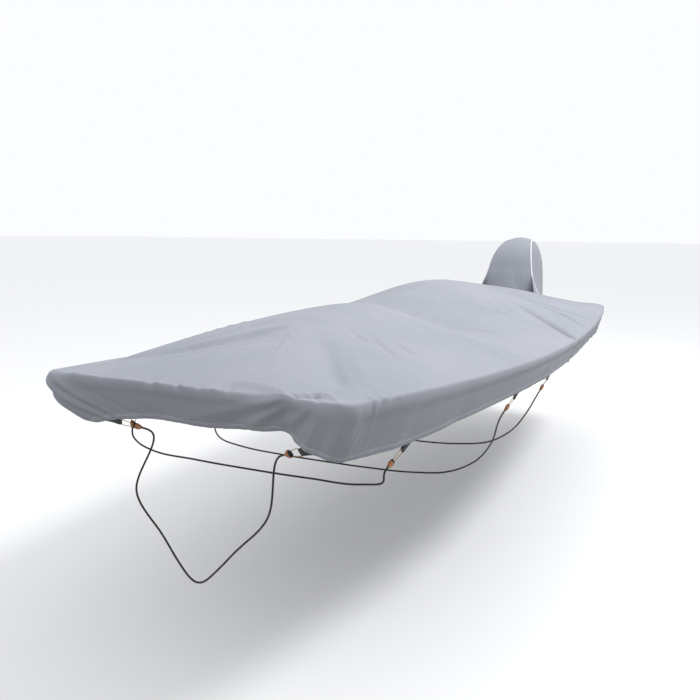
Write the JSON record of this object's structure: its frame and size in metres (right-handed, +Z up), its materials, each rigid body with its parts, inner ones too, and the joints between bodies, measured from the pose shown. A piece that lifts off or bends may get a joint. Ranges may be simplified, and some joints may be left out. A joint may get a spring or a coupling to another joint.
{
  "type": "fitted boat cover",
  "caption": "Fitted polyester cover for an open, blunt-bowed aluminium boat, with a motor hood and elastic ties under the hull, shown draped as on the boat",
  "frame": {"origin": "on the centreline amidships at gunwale height, the mount boat_under_top", "axes": "-Y is the bow, +Y the transom and motor hood, +X the boat's port side, +Z up"},
  "size_m": [1.8914, 5.3079, 1.2914],
  "materials": {
    "coated_polyester": "grey coated polyester cloth, slightly satin",
    "binding_tape": "light grey folded binding tape",
    "black_webbing": "black woven polypropylene webbing",
    "zinc_plated_wire": "yellow zinc-plated steel wire",
    "black_rubber": "matt black rubber",
    "amber_plastic": "tan moulded plastic",
    "elastic_cord": "black braided sleeve over a rubber core"
  },
  "bodies": {
    "root": {"deck": "coated_polyester", "bow_skirt": "coated_polyester", "port_fore_skirt": "coated_polyester", "starboard_fore_skirt": "coated_polyester", "port_aft_skirt": "coated_polyester", "starboard_aft_skirt": "coated_polyester", "port_transom_skirt": "coated_polyester", "starboard_transom_skirt": "coated_polyester", "hood_band": "coated_polyester", "hood_port_side": "coated_polyester", "hood_starboard_side": "coated_polyester", "hood_port_binding": "binding_tape", "hood_starboard_binding": "binding_tape", "bow_port_webbing": "black_webbing", "bow_port_hook": "zinc_plated_wire", "bow_port_collar": "black_rubber", "bow_port_cap": "amber_plastic", "bow_starboard_webbing": "black_webbing", "bow_starboard_hook": "zinc_plated_wire", "bow_starboard_collar": "black_rubber", "bow_starboard_cap": "amber_plastic", "bow_cord": "elastic_cord", "fore_port_webbing": "black_webbing", "fore_port_hook": "zinc_plated_wire", "fore_port_collar": "black_rubber", "fore_port_cap": "amber_plastic", "fore_starboard_webbing": "black_webbing", "fore_starboard_hook": "zinc_plated_wire", "fore_starboard_collar": "black_rubber", "fore_starboard_cap": "amber_plastic", "fore_cord": "elastic_cord", "mid_port_webbing": "black_webbing", "mid_port_hook": "zinc_plated_wire", "mid_port_collar": "black_rubber", "mid_port_cap": "amber_plastic", "mid_starboard_webbing": "black_webbing", "mid_starboard_hook": "zinc_plated_wire", "mid_starboard_collar": "black_rubber", "mid_starboard_cap": "amber_plastic", "mid_cord": "elastic_cord", "aft_port_webbing": "black_webbing", "aft_port_hook": "zinc_plated_wire", "aft_port_collar": "black_rubber", "aft_port_cap": "amber_plastic", "aft_starboard_webbing": "black_webbing", "aft_starboard_hook": "zinc_plated_wire", "aft_starboard_collar": "black_rubber", "aft_starboard_cap": "amber_plastic", "aft_cord": "elastic_cord"}
  },
  "joints": []
}
